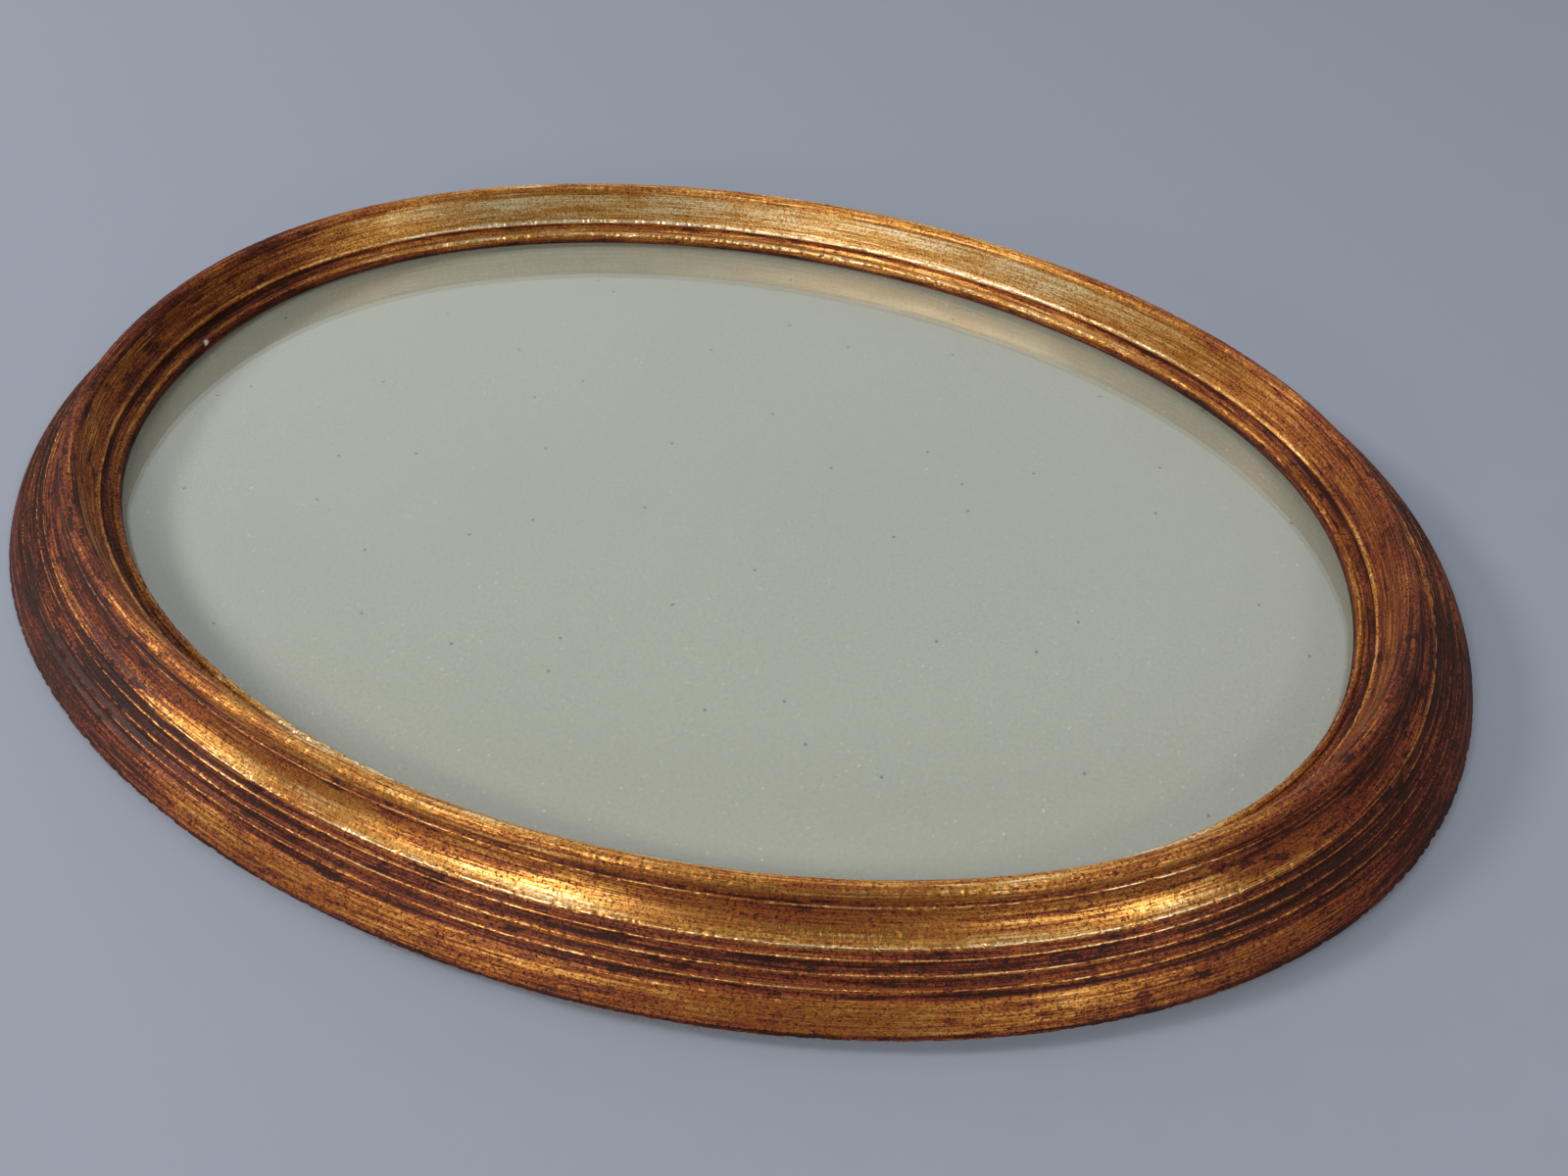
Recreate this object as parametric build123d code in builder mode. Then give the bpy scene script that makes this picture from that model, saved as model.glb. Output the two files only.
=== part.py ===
"""Oval gilt picture frame, lying on its back as it does in the photograph.

All sizes are millimetres. The origin is the centre of the oval on the surface that the
frame lies on, +Z points out of the picture's face, X runs along the long way of the oval
and +Y is the side that hangs uppermost. An angle on the oval is the parameter t of
(a cos t, b sin t). On a section through the moulding, the inset is counted inwards from
the outermost edge, square to the oval, and the height is counted up from the wood's back.
"""

import os
from math import cos, pi, radians, sin, sqrt

from build123d import *

# Overall oval
oval_length = 414.0
oval_width = 300.0

# Moulding section
moulding_width = 31.7
moulding_height = 23.5
foot_ease = 0.45
rabbet_overlap = 5.7

# What the rabbet holds, from the lip down to the back
glass_thick = 2.0
card_thick = 0.5
board_thick = 1.3
glass_gap = 0.6
card_gap = 0.8
board_gap = 0.5

# Glazing sprigs: headless cut brads, wide at the head and narrow at the point
sprig_thick = 0.9
sprig_head_width = 1.5
sprig_point_width = 0.5
sprig_length = 12.0
sprig_bite = 6.0
sprig_cover = 0.7
sprig_slack = 0.05
sprigs_around = 12

# Dust cover
paper_thick = 0.25
paper_inset = 0.1

# Loose tongues in the joints between the moulding's pieces
tongue_thick = 3.0
tongue_width = 13.0
tongue_length = 24.0
tongue_slack = 0.05
tongue_end_gap = 0.5

# Ring hanger
wire_diameter = 1.6
ring_inner_width = 12.0
ring_corner = 1.2
strap_thick = 0.7
strap_width = 9.0
strap_reach = 8.4
strap_corner = 1.6
hinge_slack = 0.05
screw_from_hinge = 4.9
screw_diameter = 2.2
screw_slack = 0.05
screw_length = 10.0
screw_point = 2.4
screw_head_diameter = 4.4
screw_head_height = 1.1
screw_slot_width = 0.7
screw_slot_depth = 0.45

# Pocket in the wood's back for the hanger
pocket_depth = 5.2
pocket_wall = 1.6
pocket_gap = 0.6
pocket_side_gap = 1.0
pocket_corner = 3.0

# Points that a smooth oval outline is drawn through
outline_points = 48

# One overrun serves every cut that leaves a solid
overrun = 1.0

# The moulding's face, from the outer foot to the lip at the glass: shares of the
# moulding's width inwards and of its height upwards.
band_start_share = (0.0, 0.020)
band_middle_share = (0.070, 0.175)
band_arris_share = (0.155, 0.309)
# Four worn fillets climb from the band to the cove: the foot and the arris of each riser.
fillet_shares = [
    ((0.199, 0.326), (0.218, 0.385)),
    ((0.272, 0.407), (0.294, 0.470)),
    ((0.354, 0.479), (0.376, 0.534)),
    ((0.420, 0.543), (0.442, 0.589)),
]
cove_middle_share = (0.569, 0.662)
cove_top_share = (0.637, 0.823)
crest_quirk_share = (0.660, 0.832)
crest_outer_share = (0.669, 0.853)
crest_top_share = (0.732, 1.0)
crest_inner_share = (0.803, 0.921)
scoop_quirk_share = (0.799, 0.900)
scoop_top_share = (0.808, 0.883)
scoop_middle_share = (0.821, 0.696)
scoop_foot_share = (0.852, 0.521)
upper_bead_middle_share = (0.875, 0.504)
upper_bead_foot_share = (0.877, 0.466)
groove_middle_share = (0.894, 0.377)
groove_end_share = (0.934, 0.360)
sight_bead_middle_share = (0.975, 0.390)
sight_bead_foot_share = (1.0, 0.338)
lip_inset_share = 0.987

# A tongue's centre on the same section
tongue_seat_share = (0.505, 0.32)

# The moulding's six pieces, named as they hang: where each starts and ends round the oval
moulding_runs = {
    "moulding_upper_right": (0, 67.5),
    "moulding_top": (67.5, 112.5),
    "moulding_upper_left": (112.5, 180),
    "moulding_lower_left": (180, 247.5),
    "moulding_bottom": (247.5, 292.5),
    "moulding_lower_right": (292.5, 360),
}
hanger_angle = 90

# Worked out from the sizes above
half_length = oval_length / 2
half_width = oval_width / 2
back_height = paper_thick
rabbet_inset = moulding_width - rabbet_overlap
rabbet_depth = sprig_cover + sprig_thick + sprig_slack + board_thick + card_thick + glass_thick
lip_height = back_height + rabbet_depth
glass_bottom = lip_height - glass_thick
card_bottom = glass_bottom - card_thick
board_bottom = card_bottom - board_thick
sprig_height = board_bottom - sprig_slack - sprig_thick / 2
sprig_angles = [360 / sprigs_around * (turn + 0.5) for turn in range(sprigs_around)]

wire_radius = wire_diameter / 2
hinge_bore = wire_radius + hinge_slack
loop_radius = hinge_bore + strap_thick
bow_radius = ring_inner_width / 2 + wire_radius
ring_reach = ring_corner + bow_radius + wire_radius
pocket_length = ring_reach + strap_reach + 2 * pocket_gap
pocket_width = 2 * (bow_radius + wire_radius + pocket_side_gap)
pocket_inner_inset = rabbet_inset - pocket_wall
pocket_floor = back_height + pocket_depth
hinge_inset = pocket_inner_inset - pocket_gap - strap_reach
hinge_y = half_width - hinge_inset
hinge_z = pocket_floor - loop_radius
pocket_y = half_width - pocket_inner_inset + pocket_length / 2
strap_face = pocket_floor - 2 * strap_thick
screw_y = hinge_y - screw_from_hinge


def oval_plane(angle):
    """The plane that cuts the moulding square: x is the inset, y points up."""
    t = radians(angle)
    inwards = Vector(-half_width * cos(t), -half_length * sin(t), 0).normalized()
    along = Vector(-half_length * sin(t), half_width * cos(t), 0).normalized()
    edge_point = (half_length * cos(t), half_width * sin(t), back_height)
    return Plane(origin=edge_point, x_dir=inwards, z_dir=along)


def sprig_outline(angle, slack):
    """A sprig's outline, level, at half its thickness: from its point in the wood to its head."""
    section = oval_plane(angle)
    point = section.from_local_coords((rabbet_inset - sprig_bite, sprig_height - back_height, 0))
    half_point = sprig_point_width / 2 + slack
    half_head = sprig_head_width / 2 + slack
    with BuildSketch(Plane(origin=point, x_dir=section.x_dir, z_dir=(0, 0, 1))) as outline:
        with BuildLine():
            Polyline(
                (-slack, -half_point),
                (sprig_length, -half_head),
                (sprig_length, half_head),
                (-slack, half_point),
                close=True,
            )
        make_face()
    return outline.sketch


def on_section(share):
    """A point of the section, from its shares of the moulding's width and height."""
    return (moulding_width * share[0], moulding_height * share[1])


def section_arc(start_share, middle_share, end_share):
    """A round stretch of the section, drawn into the line that is open."""
    ThreePointArc(on_section(start_share), on_section(middle_share), on_section(end_share))


def moulding_section(angle):
    """The moulding's section at an angle round the oval."""
    foot = (foot_ease, 0)
    rabbet_back = (rabbet_inset, 0)
    rabbet_top = (rabbet_inset, rabbet_depth)
    lip = (moulding_width * lip_inset_share, rabbet_depth)
    steps = [on_section(share) for riser in fillet_shares for share in riser]
    with BuildSketch(oval_plane(angle)) as section:
        with BuildLine():
            Line(foot, on_section(band_start_share))
            section_arc(band_start_share, band_middle_share, band_arris_share)
            Polyline(on_section(band_arris_share), *steps)
            section_arc(fillet_shares[-1][-1], cove_middle_share, cove_top_share)
            Polyline(*map(on_section, (cove_top_share, crest_quirk_share, crest_outer_share)))
            section_arc(crest_outer_share, crest_top_share, crest_inner_share)
            Polyline(*map(on_section, (crest_inner_share, scoop_quirk_share, scoop_top_share)))
            section_arc(scoop_top_share, scoop_middle_share, scoop_foot_share)
            section_arc(scoop_foot_share, upper_bead_middle_share, upper_bead_foot_share)
            section_arc(upper_bead_foot_share, groove_middle_share, groove_end_share)
            section_arc(groove_end_share, sight_bead_middle_share, sight_bead_foot_share)
            Polyline(on_section(sight_bead_foot_share), lip, rabbet_top, rabbet_back, foot)
        make_face()
    return section.sketch


def oval_plate(height, inset):
    """A flat oval at a height, whose edge keeps one inset from the moulding's outer edge."""
    angles = [360 / outline_points * step for step in range(outline_points)]
    edge = [oval_plane(angle).from_local_coords((inset, 0, 0)) for angle in angles]
    with BuildSketch(Plane.XY.offset(height)) as plate:
        with BuildLine():
            Spline(*[(point.X, point.Y) for point in edge], periodic=True)
        make_face()
    return plate.sketch


def keep(piece, name):
    """Label a finished piece and write it."""
    piece.part.label = name
    export_step(piece.part, f"parts/{name}.step")


os.makedirs("parts", exist_ok=True)

# Moulding: six curved pieces of wood that meet end to end, tongued and glued
for name, (start, end) in moulding_runs.items():
    with BuildLine() as run:
        EllipticalCenterArc((0, 0), half_length, half_width, start_angle=start, arc_size=end - start)
    with BuildPart() as moulding:
        sweep(moulding_section(start), path=run.line)
        # Half of each tongue's slot is in this end, half in the neighbour's
        for joint_angle in (start, end):
            with BuildSketch(oval_plane(joint_angle)):
                with Locations(on_section(tongue_seat_share)):
                    Rectangle(tongue_width + 2 * tongue_slack, tongue_thick + 2 * tongue_slack)
            extrude(amount=tongue_length / 2 + tongue_end_gap, both=True, mode=Mode.SUBTRACT)
        for angle in sprig_angles:
            if start < angle < end:
                hole_half = sprig_thick / 2 + sprig_slack
                extrude(sprig_outline(angle, sprig_slack), amount=hole_half, both=True, mode=Mode.SUBTRACT)
        if start < hanger_angle < end:
            with BuildSketch(Plane.XY.offset(pocket_floor)):
                with Locations((0, pocket_y)):
                    RectangleRounded(pocket_width, pocket_length, pocket_corner)
            extrude(amount=-(pocket_depth + overrun), mode=Mode.SUBTRACT)
            with BuildSketch(Plane.XY.offset(pocket_floor - overrun)):
                with Locations((0, screw_y)):
                    Circle(screw_diameter / 2 + screw_slack)
            extrude(amount=overrun + strap_face + screw_length - pocket_floor + overrun, mode=Mode.SUBTRACT)
    keep(moulding, name)

# Tongues: one loose flat strip across each joint of the moulding
with BuildPart() as joint_tongues:
    for start, end in moulding_runs.values():
        with BuildSketch(oval_plane(start)):
            with Locations(on_section(tongue_seat_share)):
                Rectangle(tongue_width, tongue_thick)
        extrude(amount=tongue_length / 2, both=True)
keep(joint_tongues, "joint_tongues")

# Glass, card and backing board: three ovals stacked in the rabbet against the lip
with BuildPart() as glass:
    extrude(oval_plate(glass_bottom, rabbet_inset + glass_gap), amount=glass_thick)
keep(glass, "glass")

with BuildPart() as card:
    extrude(oval_plate(card_bottom, rabbet_inset + card_gap), amount=card_thick)
keep(card, "card")

with BuildPart() as backing_board:
    extrude(oval_plate(board_bottom, rabbet_inset + board_gap), amount=board_thick)
keep(backing_board, "backing_board")

# Glazing sprigs: driven into the rabbet's wall over the board's edge
with BuildPart() as glazing_sprigs:
    for angle in sprig_angles:
        extrude(sprig_outline(angle, 0), amount=sprig_thick / 2, both=True)
keep(glazing_sprigs, "glazing_sprigs")

# Dust cover: paper glued over the whole back, cut away round the hanger's pocket
with BuildPart() as dust_cover:
    extrude(oval_plate(0, paper_inset), amount=paper_thick)
    with BuildSketch(Plane.XY.offset(-overrun)):
        with Locations((0, pocket_y)):
            RectangleRounded(pocket_width, pocket_length, pocket_corner)
    extrude(amount=paper_thick + 2 * overrun, mode=Mode.SUBTRACT)
keep(dust_cover, "dust_cover")

# Strap: sheet metal folded round the ring's straight leg, its two leaves held by one screw
slant = loop_radius / sqrt(2)
leaf_start = slant + (strap_face - (hinge_z - slant))
with BuildPart() as hanger_strap:
    with BuildSketch(Plane(origin=(0, hinge_y, hinge_z), x_dir=(0, -1, 0), z_dir=(1, 0, 0))):
        with BuildLine():
            floor_side = -loop_radius
            leaf_side = hinge_z - strap_face
            Line((strap_reach, floor_side), (0, floor_side))
            ThreePointArc((0, floor_side), (-loop_radius, 0), (slant, slant))
            Polyline(
                (slant, slant),
                (leaf_start, leaf_side),
                (strap_reach, leaf_side),
                (strap_reach, floor_side),
            )
        make_face()
        Circle(hinge_bore, mode=Mode.SUBTRACT)
    extrude(amount=strap_width / 2, both=True)
    strap_end = hanger_strap.faces().sort_by(Axis.Y)[0]
    fillet(strap_end.edges().filter_by(Axis.Z), strap_corner)
    with BuildSketch(Plane.XY.offset(pocket_floor)):
        with Locations((0, screw_y)):
            Circle(screw_diameter / 2 + screw_slack)
    extrude(amount=-pocket_depth, mode=Mode.SUBTRACT)
keep(hanger_strap, "hanger_strap")

# Ring: a dee bent from wire, its straight leg turning in the strap's fold
leg_half = bow_radius - ring_corner
bow_start = hinge_y + ring_corner
with BuildPart() as hanger_ring:
    with BuildSketch(Plane(origin=(0, hinge_y, hinge_z), z_dir=(1, 0, 0))):
        Circle(wire_radius)
    extrude(amount=leg_half)
    with BuildSketch(Plane(origin=(leg_half, hinge_y, hinge_z), z_dir=(1, 0, 0))):
        Circle(wire_radius)
    revolve(axis=Axis((leg_half, bow_start, hinge_z), (0, 0, 1)), revolution_arc=90)
    with BuildSketch(Plane(origin=(bow_radius, bow_start, hinge_z), z_dir=(0, 1, 0))):
        Circle(wire_radius)
    revolve(axis=Axis((0, bow_start, hinge_z), (0, 0, 1)), revolution_arc=90)
    mirror(about=Plane.YZ)
keep(hanger_ring, "hanger_ring")

# Screw: slotted round head on the strap, point up in the wood
with BuildPart() as hanger_screw:
    with BuildSketch(Plane.XZ.offset(-screw_y)):
        with BuildLine():
            head_radius = screw_head_diameter / 2
            shank_radius = screw_diameter / 2
            tip = strap_face + screw_length
            Line((0, strap_face - screw_head_height), (0, tip))
            Polyline((0, tip), (shank_radius, tip - screw_point), (shank_radius, strap_face), (head_radius, strap_face))
            ThreePointArc(
                (head_radius, strap_face),
                (head_radius * cos(pi / 4), strap_face - screw_head_height * sin(pi / 4)),
                (0, strap_face - screw_head_height),
            )
        make_face()
    revolve(axis=Axis((0, screw_y, 0), (0, 0, 1)))
    with BuildSketch(Plane.XY.offset(strap_face - screw_head_height + screw_slot_depth)):
        with Locations(Location((0, screw_y))):
            Rectangle(screw_head_diameter + overrun, screw_slot_width)
    extrude(amount=-(screw_slot_depth + overrun), mode=Mode.SUBTRACT)
keep(hanger_screw, "hanger_screw")
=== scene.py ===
"""Oval gilt picture frame: its finishes, its finer surfaces and the stage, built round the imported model.

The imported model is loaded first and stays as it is. All lengths are in metres, in the model's own
frame: X runs along the long way of the oval, +Y is the side with the hanger and +Z is the face.
On a section through the moulding, the inset is counted inwards from the outermost edge and the
height upwards from the wood's back.
"""

from math import atan2, ceil, cos, pi, radians, sin, tan

import bpy
import numpy as np
from bpy.props import FloatProperty, FloatVectorProperty, IntProperty, PointerProperty
from mathutils import Matrix, Vector


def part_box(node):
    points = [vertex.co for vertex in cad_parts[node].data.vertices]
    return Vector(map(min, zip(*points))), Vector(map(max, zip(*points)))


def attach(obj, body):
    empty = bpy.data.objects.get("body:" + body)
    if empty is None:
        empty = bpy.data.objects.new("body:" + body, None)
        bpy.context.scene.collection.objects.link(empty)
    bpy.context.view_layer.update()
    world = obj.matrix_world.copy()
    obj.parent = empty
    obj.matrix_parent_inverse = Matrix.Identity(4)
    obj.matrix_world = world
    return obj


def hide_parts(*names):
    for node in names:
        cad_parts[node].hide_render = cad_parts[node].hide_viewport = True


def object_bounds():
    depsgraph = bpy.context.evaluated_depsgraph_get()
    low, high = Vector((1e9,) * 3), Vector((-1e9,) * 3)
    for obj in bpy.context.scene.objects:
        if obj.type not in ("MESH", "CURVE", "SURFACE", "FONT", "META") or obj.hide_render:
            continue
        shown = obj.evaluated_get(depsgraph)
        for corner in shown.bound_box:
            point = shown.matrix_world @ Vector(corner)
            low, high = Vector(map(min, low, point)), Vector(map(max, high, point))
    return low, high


bl_info = {
    "name": "Oval gilt frame",
    "version": (1, 0, 0),
    "blender": (4, 5, 0),
    "location": "View3D > Sidebar > Oval Frame",
    "description": "Dresses the packed oval picture frame: gilding, glass, card, paper, hanger and stage",
    "category": "Object",
}

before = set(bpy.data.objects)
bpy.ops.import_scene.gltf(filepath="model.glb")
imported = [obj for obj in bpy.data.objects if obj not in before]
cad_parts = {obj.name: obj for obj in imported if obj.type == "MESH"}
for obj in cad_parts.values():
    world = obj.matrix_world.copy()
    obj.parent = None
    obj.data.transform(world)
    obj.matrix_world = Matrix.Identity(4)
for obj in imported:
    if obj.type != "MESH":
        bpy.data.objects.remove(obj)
low_corner, high_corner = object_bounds()

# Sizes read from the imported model
HALF_LENGTH = high_corner[0]
HALF_WIDTH = high_corner[1]
WOOD_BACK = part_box("moulding_bottom")[0].z
MOULDING_HEIGHT = high_corner[2] - WOOD_BACK
GLASS_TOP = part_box("glass")[1].z

# Sizes of the moulding's section
MOULDING_WIDTH = 0.0317
RABBET_INSET = 0.0260
FOOT_EASE = 0.00045
LIP_INSET_SHARE = 0.987

# How finely the section is drawn and found again: how much longer an arc may be than its chord,
# the gaps below which two points are one and a point is a corner, and the step of the probe
ARC_EXCESS = 1.1
MERGE_GAP = 0.000001
CORNER_GAP = 0.00001
FACE_PROBE = 0.0001

# The crest's top: the insets it lies between and the height it lies above
CREST = (0.0215, 0.0250, 0.0212)

# Sizes of the pocket in the top piece's back, where the hanger lies
POCKET_WIDTH = 0.0172
POCKET_LENGTH = 0.0184
POCKET_CORNER = 0.0030
POCKET_Y = 0.1348
SCREW_Y = 0.1297
SCREW_HOLE_RADIUS = 0.00115

# How many segments round a corner of the pocket, and how many points go round the screw's hole
POCKET_CORNER_SEGMENTS = 8
SCREW_HOLE_POINTS = 24

# How far a cutter reaches past what it cuts
CUT_OVERRUN = 0.001

# Where the moulding's six pieces meet, in degrees round the oval
MOULDING_RUNS = {
    "moulding_upper_right": (0, 67.5),
    "moulding_top": (67.5, 112.5),
    "moulding_upper_left": (112.5, 180),
    "moulding_lower_left": (180, 247.5),
    "moulding_bottom": (247.5, 292.5),
    "moulding_lower_right": (292.5, 360),
}

# The moulding's face from its outer edge to its sight edge. Each stretch has its points, as
# shares of the width inwards and of the height upwards, where three points make an arc; how
# much of the gold leaf is left at its start and at its end; and how far it was burnished.
FACE_STRETCHES = (
    (((0.0, 0.020), (0.070, 0.175), (0.155, 0.309)), (0.36, 0.44), 0.45),
    (((0.155, 0.309), (0.199, 0.326)), (0.40, 0.10), 0.7),
    (((0.199, 0.326), (0.218, 0.385)), (0.10, 0.30), 0.5),
    (((0.218, 0.385), (0.272, 0.407)), (0.36, 0.12), 0.7),
    (((0.272, 0.407), (0.294, 0.470)), (0.10, 0.28), 0.5),
    (((0.294, 0.470), (0.354, 0.479)), (0.24, 0.04), 0.7),
    (((0.354, 0.479), (0.376, 0.534)), (0.06, 0.30), 0.5),
    (((0.376, 0.534), (0.420, 0.543)), (0.38, 0.14), 0.8),
    (((0.420, 0.543), (0.442, 0.589)), (0.22, 0.54), 0.8),
    (((0.442, 0.589), (0.569, 0.662), (0.637, 0.823)), (0.66, 0.32), 1.0),
    (((0.637, 0.823), (0.660, 0.832)), (0.30, 0.24), 0.6),
    (((0.660, 0.832), (0.669, 0.853)), (0.26, 0.34), 0.6),
    (((0.669, 0.853), (0.732, 1.0), (0.803, 0.921)), (0.46, 0.58), 0.9),
    (((0.803, 0.921), (0.808, 0.883)), (0.58, 0.64), 1.0),
    (((0.808, 0.883), (0.821, 0.696), (0.852, 0.521)), (0.86, 0.68), 1.0),
    (((0.852, 0.521), (0.875, 0.504), (0.877, 0.466)), (0.88, 0.76), 1.0),
    (((0.877, 0.466), (0.894, 0.377), (0.934, 0.360)), (0.24, 0.72), 0.8),
    (((0.934, 0.360), (0.975, 0.390), (1.0, 0.338)), (0.84, 0.50), 1.0),
)

# The arrises: the turns of the section, in degrees, where an arris starts and where it is full;
# how near to it the leaf is rubbed bright and a highlight line is painted, and how near the wood is
# chipped; where in the chips' texture a chip starts and where it is deepest; and the weight below
# which a point is left alone
ARRIS_TURNS = (20, 45)
RUBBED_AND_HIGHLIGHT_REACH = 0.00025
CHIPPED_REACH = 0.0006
CHIP_THRESHOLD = (0.52, 0.66)
LEAST_WEIGHT = 0.02

# The angle between faces, in degrees, past which they are shaded apart
SHARP_ANGLE = 50

# How worn the gilding is round the oval, at these angles in degrees
WORN_ANGLES = (0, 26, 66, 136, 156, 234, 248, 314, 334, 360)
WORN_WEIGHTS = (1, 1, 0, 0, 1, 1, 0, 0, 1, 1)

# What wear and painted light change of the leaf left. It adds at an arris, where the leaf is rubbed
# bright and a highlight line is painted along it. It takes away on the crest towards the ends, from
# the first to the second of these shares of the half length; where the gilding is worn, more if the
# leaf was rich and less on the crest; and along the foot, as a painted shade line where the frame
# meets the floor, where the inset and the height together are less than the shade's reach. Some is
# left everywhere
RUBBED_AND_HIGHLIGHT_GAIN = 0.45
CREST_LOSS = 0.12
END_SHARES = (0.80, 0.96)
WORN_LOSS = 0.34
RICH_LOSS = 0.30
RICH_COVER = 0.40
CREST_SHELTER = 0.34
FOOT_SHADE_LOSS = 0.60
FOOT_SHADE_STEEPNESS = 1.4
FOOT_SHADE_REACH = 0.0024
LEAST_COVER = 0.02

# How much of the shine is lost where the gilding is worn
WORN_DULLING = 0.85

# The marks in the gilding, drawn on the unrolled face: the length and the width of each mark,
# and the detail and the roughness of its noise
GILDING_MARKS = {
    "streaks": (0.040, 0.0008, 4, 0.60),
    "hairs": (0.014, 0.00028, 4, 0.60),
    "clouds": (0.020, 0.0060, 4, 0.55),
    "specks": (0.0013, 0.0008, 4, 0.80),
    "grain": (0.00070, 0.00050, 2, 0.70),
    "combing": (0.0009, 0.0070, 2, 0.55),
    "patches": (0.0085, 0.0028, 6, 0.65),
}

# Where a mark starts and where it is full: the spots in the grain, the dark patches, and the
# leaf that is thin enough for patches. Last, how far a crack reaches to both sides of its line
SPOT_EDGE = (0.56, 0.64)
PATCH_EDGE = (0.565, 0.62)
PATCH_COVER = (0.55, 0.35)
CRACK_REACH = 0.012

# What each mark adds to the leaf left, and the sum of these that changes nothing
LEAF_WEIGHTS = {
    "streaks": 1.05, "hairs": 0.95, "clouds": 0.50, "specks": 0.80, "spots": -0.30, "patches": -0.24,
    "cracks": -0.06,
}
LEAF_BALANCE = 1.60

# The leaf left at which the gilding has each colour; the brightest colour is partly a painted highlight
LEAF_COLOURS = {"dirt_and_foot_shade": 0.06, "bole": 0.26, "toned_leaf": 0.44, "leaf": 0.74, "bright_leaf_and_highlight": 1.0}

# The leaf left where metal starts and where it is full, and how metallic both are
METAL_EDGE = (0.26, 0.54)
METAL_RANGE = (0.10, 0.84)

# The grain where its shade starts and ends, and the shade at both
GRAIN_SHADE = (0.62, 0.42, 0.70, 1.04)

# The turn of the brushed gloss, in full turns, that draws it out across the moulding
ACROSS_THE_RUN = 0.25

# What each mark adds to the roughness and to the relief, and the roughness added everywhere
ROUGHNESS_WEIGHTS = {"specks": 0.20, "leaf": -0.14, "shine": -0.22}
ROUGHNESS_GAIN = 0.16
RELIEF_WEIGHTS = {"leaf": 0.30, "specks": 0.5, "streaks": 0.5, "hairs": 0.5, "grain": 0.25, "cracks": -0.3}
RELIEF_DEPTH = 0.00009
RELIEF_STRENGTH = 0.6

# A chip of bare white gesso on the sight edge: where it is and how far it reaches; and, in
# reaches, how ragged it is and where its edge starts and ends
CHIP_PLACE = (-0.1740, 0.0108, 0.0085)
CHIP_REACH = 0.0013
CHIP_RAGGEDNESS = 1.2
CHIP_EDGE = (1.5, 1.7)

# A plain finish: the clouds between which its colour and its roughness turn, how far the
# roughness strays to both sides, and its relief
COLOUR_CLOUDS = (0.35, 0.60)
ROUGHNESS_CLOUDS = (0.2, 0.8)
ROUGHNESS_STRAY = 0.08
PLAIN_RELIEF = 0.3
GRAIN_DEPTH = 0.0001

# Card and paper: the clouds between which their colour turns, and their roughness
PAPER_CLOUDS = (0.3, 0.7)
PAPER_ROUGHNESS = 0.85

# The card's mottle and its broad clouds: how many to a metre, and how dark and pale they are
CARD_MOTTLE = 1100
CARD_DARKER = 0.84
CARD_CLOUDS = 12
CARD_CLOUD_SHADES = (0.985, 1.01)

# The card's dark fibres, its pale flecks and its few dark specks: how many there are to a metre,
# or how large they are; how far the fibres are turned; the values between which a mark's edge
# lies; and how strongly it shows
CARD_FIBRES = (2200, 500, 1)
CARD_FIBRE_TURN = 0.9
CARD_FIBRE_EDGE = (0.69, 0.72)
CARD_FIBRE_STRENGTH = 0.45
CARD_FLECK_SIZE = 0.0011
CARD_FLECK_EDGE = (0.72, 0.75)
CARD_FLECK_STRENGTH = 0.35
CARD_SPECKS = 30
CARD_SPECK_EDGE = (0.010, 0.016)
CARD_SPECK_STRENGTH = 0.8

# The kraft paper's long fibres and its clouds, in the same way
KRAFT_FIBRES = (300, 1800, 1)
KRAFT_FIBRE_TURN = 0.3
KRAFT_DARKER = 0.72
KRAFT_CLOUDS = 60
KRAFT_CLOUD_SHADES = (0.85, 1.05)
KRAFT_RELIEF = 0.4

# How many points go round the card and round the torn paper
CARD_POINTS = 512
PAPER_POINTS = 4096

# The stretch of the paper's edge that shows loose fibres, in degrees round the oval
FIBRE_RUN = (262, 318)

# A loose fibre: how far in from the edge it starts, and at which shares of the paper's
# thickness; how far it leans, and how much of that it does before its bend; how long it is as a
# share of the longest, and where on its reach its bend and its tip are; how much of the room
# beside the oval it may take, and the least outward turn that this is reckoned with; and how
# low it may lie
FIBRE_INSET = 0.0004
FIBRE_START_SHARES = (0.2, 0.9)
FIBRE_LEAN = 1.2
FIBRE_BEND = 0.3
FIBRE_LENGTH_SHARES = (0.25, 1.0)
FIBRE_BEND_SHARE = 0.5
FIBRE_TIP_SHARE = 0.8
FIBRE_ROOM_SHARE = 0.9
FIBRE_LEAST_OUT = 0.2
FIBRE_LIFT = 0.00004

# How far the lamps stand from the frame; and each one's bearing from +X, height above level, and
# angular width and tallness, all in degrees, and radiance
LAMP_DISTANCE = 2.0
LAMPS = (
    ("left_window", 188, 36.5, 13, 9, 52.0),
    ("window", 237, 45, 11, 11, 22.0),
    ("near_window", 250, 50, 11, 11, 14.0),
    ("low_window", 256, 20, 11, 11, 13.0),
    ("side_window", 333, 42, 11, 11, 19.0),
    ("low_side_window", 312, 22, 10, 10, 12.0),
)

# The bright wall behind the frame: its bearing and height, and how far from there it stays
# full and where it ends, in degrees
BRIGHT_WALL = (105, 40, 28, 62)

# The camera's sensor in millimetres, where its view starts, and the length of the floor's sides
SENSOR_WIDTH = 36
VIEW_START = 0.01
FLOOR_SIZE = 12


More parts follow.
